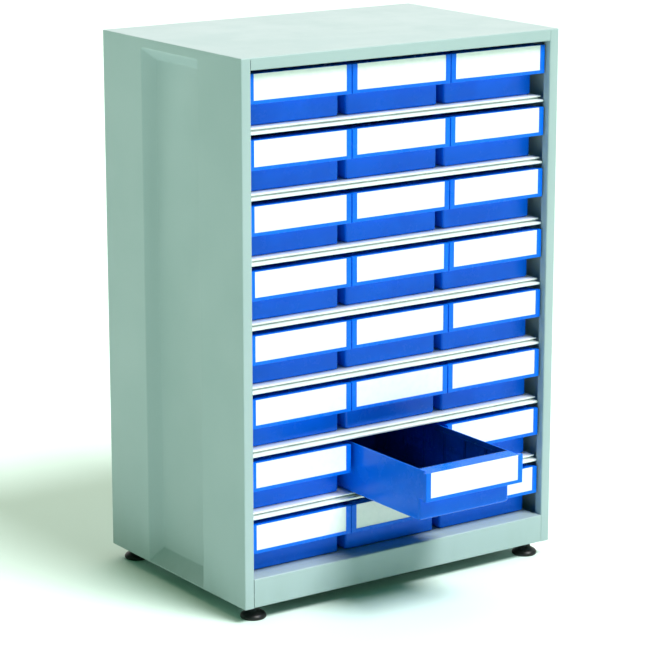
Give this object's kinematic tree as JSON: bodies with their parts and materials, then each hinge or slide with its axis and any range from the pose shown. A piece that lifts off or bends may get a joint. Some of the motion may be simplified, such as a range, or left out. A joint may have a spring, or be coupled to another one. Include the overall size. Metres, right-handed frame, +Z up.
{
  "type": "parts organizer",
  "caption": "Upright sheet-steel small-parts cabinet on levelling feet, with rows of sliding plastic drawers that carry label cards.",
  "frame": {"origin": "on the floor, midway between the four feet, under the middle of the cabinet", "axes": "+Z up, -Y towards the front where the drawers open, +X to the right as seen from the front"},
  "size_m": [0.6, 0.5852, 0.874],
  "materials": {
    "painted_steel": "satin light grey-green powder coat",
    "zinc_plated_steel": "bright zinc-plated sheet",
    "blue_plastic": "glossy blue moulded plastic",
    "white_card": "blank white label card",
    "black_plastic": "matt black moulded plastic",
    "screw_steel": "bright zinc-plated steel"
  },
  "bodies": {
    "cabinet": {"left_side_panel": "painted_steel", "right_side_panel": "painted_steel", "top_panel": "painted_steel", "back_panel": "painted_steel", "base_tray": "painted_steel", "plinth": "painted_steel", "shelves": "zinc_plated_steel", "back_screws": "screw_steel"},
    "drawer_1_left": {"drawer_1_left": "blue_plastic", "label_1_left": "white_card"},
    "drawer_1_middle": {"drawer_1_middle": "blue_plastic", "label_1_middle": "white_card"},
    "drawer_1_right": {"drawer_1_right": "blue_plastic", "label_1_right": "white_card"},
    "drawer_2_left": {"drawer_2_left": "blue_plastic", "label_2_left": "white_card"},
    "drawer_2_middle": {"drawer_2_middle": "blue_plastic", "label_2_middle": "white_card"},
    "drawer_2_right": {"drawer_2_right": "blue_plastic", "label_2_right": "white_card"},
    "drawer_3_left": {"drawer_3_left": "blue_plastic", "label_3_left": "white_card"},
    "drawer_3_middle": {"drawer_3_middle": "blue_plastic", "label_3_middle": "white_card"},
    "drawer_3_right": {"drawer_3_right": "blue_plastic", "label_3_right": "white_card"},
    "drawer_4_left": {"drawer_4_left": "blue_plastic", "label_4_left": "white_card"},
    "drawer_4_middle": {"drawer_4_middle": "blue_plastic", "label_4_middle": "white_card"},
    "drawer_4_right": {"drawer_4_right": "blue_plastic", "label_4_right": "white_card"},
    "drawer_5_left": {"drawer_5_left": "blue_plastic", "label_5_left": "white_card"},
    "drawer_5_middle": {"drawer_5_middle": "blue_plastic", "label_5_middle": "white_card"},
    "drawer_5_right": {"drawer_5_right": "blue_plastic", "label_5_right": "white_card"},
    "drawer_6_left": {"drawer_6_left": "blue_plastic", "label_6_left": "white_card"},
    "drawer_6_middle": {"drawer_6_middle": "blue_plastic", "label_6_middle": "white_card"},
    "drawer_6_right": {"drawer_6_right": "blue_plastic", "label_6_right": "white_card"},
    "drawer_7_left": {"drawer_7_left": "blue_plastic", "label_7_left": "white_card"},
    "drawer_7_middle": {"drawer_7_middle": "blue_plastic", "label_7_middle": "white_card"},
    "drawer_7_right": {"drawer_7_right": "blue_plastic", "label_7_right": "white_card"},
    "drawer_8_left": {"drawer_8_left": "blue_plastic", "label_8_left": "white_card"},
    "drawer_8_middle": {"drawer_8_middle": "blue_plastic", "label_8_middle": "white_card"},
    "drawer_8_right": {"drawer_8_right": "blue_plastic", "label_8_right": "white_card"},
    "foot_front_left": {"foot_front_left": "black_plastic"},
    "foot_front_right": {"foot_front_right": "black_plastic"},
    "foot_back_left": {"foot_back_left": "black_plastic"},
    "foot_back_right": {"foot_back_right": "black_plastic"}
  },
  "joints": [
    {"name": "slide_1_left", "type": "slide", "parent": "cabinet", "child": "drawer_1_left", "axis": [0, -1, 0], "range_m": [0, 0.3]},
    {"name": "slide_1_middle", "type": "slide", "parent": "cabinet", "child": "drawer_1_middle", "axis": [0, -1, 0], "range_m": [0, 0.3]},
    {"name": "slide_1_right", "type": "slide", "parent": "cabinet", "child": "drawer_1_right", "axis": [0, -1, 0], "range_m": [0, 0.3]},
    {"name": "slide_2_left", "type": "slide", "parent": "cabinet", "child": "drawer_2_left", "axis": [0, -1, 0], "range_m": [0, 0.3]},
    {"name": "slide_2_middle", "type": "slide", "parent": "cabinet", "child": "drawer_2_middle", "axis": [0, -1, 0], "range_m": [0, 0.3]},
    {"name": "slide_2_right", "type": "slide", "parent": "cabinet", "child": "drawer_2_right", "axis": [0, -1, 0], "range_m": [0, 0.3]},
    {"name": "slide_3_left", "type": "slide", "parent": "cabinet", "child": "drawer_3_left", "axis": [0, -1, 0], "range_m": [0, 0.3]},
    {"name": "slide_3_middle", "type": "slide", "parent": "cabinet", "child": "drawer_3_middle", "axis": [0, -1, 0], "range_m": [0, 0.3]},
    {"name": "slide_3_right", "type": "slide", "parent": "cabinet", "child": "drawer_3_right", "axis": [0, -1, 0], "range_m": [0, 0.3]},
    {"name": "slide_4_left", "type": "slide", "parent": "cabinet", "child": "drawer_4_left", "axis": [0, -1, 0], "range_m": [0, 0.3]},
    {"name": "slide_4_middle", "type": "slide", "parent": "cabinet", "child": "drawer_4_middle", "axis": [0, -1, 0], "range_m": [0, 0.3]},
    {"name": "slide_4_right", "type": "slide", "parent": "cabinet", "child": "drawer_4_right", "axis": [0, -1, 0], "range_m": [0, 0.3]},
    {"name": "slide_5_left", "type": "slide", "parent": "cabinet", "child": "drawer_5_left", "axis": [0, -1, 0], "range_m": [0, 0.3]},
    {"name": "slide_5_middle", "type": "slide", "parent": "cabinet", "child": "drawer_5_middle", "axis": [0, -1, 0], "range_m": [0, 0.3]},
    {"name": "slide_5_right", "type": "slide", "parent": "cabinet", "child": "drawer_5_right", "axis": [0, -1, 0], "range_m": [0, 0.3]},
    {"name": "slide_6_left", "type": "slide", "parent": "cabinet", "child": "drawer_6_left", "axis": [0, -1, 0], "range_m": [0, 0.3]},
    {"name": "slide_6_middle", "type": "slide", "parent": "cabinet", "child": "drawer_6_middle", "axis": [0, -1, 0], "range_m": [0, 0.3]},
    {"name": "slide_6_right", "type": "slide", "parent": "cabinet", "child": "drawer_6_right", "axis": [0, -1, 0], "range_m": [0, 0.3]},
    {"name": "slide_7_left", "type": "slide", "parent": "cabinet", "child": "drawer_7_left", "axis": [0, -1, 0], "range_m": [0, 0.3]},
    {"name": "slide_7_middle", "type": "slide", "parent": "cabinet", "child": "drawer_7_middle", "axis": [0, -1, 0], "range_m": [-0.193, 0.107]},
    {"name": "slide_7_right", "type": "slide", "parent": "cabinet", "child": "drawer_7_right", "axis": [0, -1, 0], "range_m": [0, 0.3]},
    {"name": "slide_8_left", "type": "slide", "parent": "cabinet", "child": "drawer_8_left", "axis": [0, -1, 0], "range_m": [0, 0.3]},
    {"name": "slide_8_middle", "type": "slide", "parent": "cabinet", "child": "drawer_8_middle", "axis": [0, -1, 0], "range_m": [0, 0.3]},
    {"name": "slide_8_right", "type": "slide", "parent": "cabinet", "child": "drawer_8_right", "axis": [0, -1, 0], "range_m": [0, 0.3]},
    {"name": "level_front_left", "type": "slide", "parent": "cabinet", "child": "foot_front_left", "axis": [0, 0, -1], "range_m": [-0.0038, 0.01]},
    {"name": "level_front_right", "type": "slide", "parent": "cabinet", "child": "foot_front_right", "axis": [0, 0, -1], "range_m": [-0.0038, 0.01]},
    {"name": "level_back_left", "type": "slide", "parent": "cabinet", "child": "foot_back_left", "axis": [0, 0, -1], "range_m": [-0.0038, 0.01]},
    {"name": "level_back_right", "type": "slide", "parent": "cabinet", "child": "foot_back_right", "axis": [0, 0, -1], "range_m": [-0.0038, 0.01]}
  ]
}
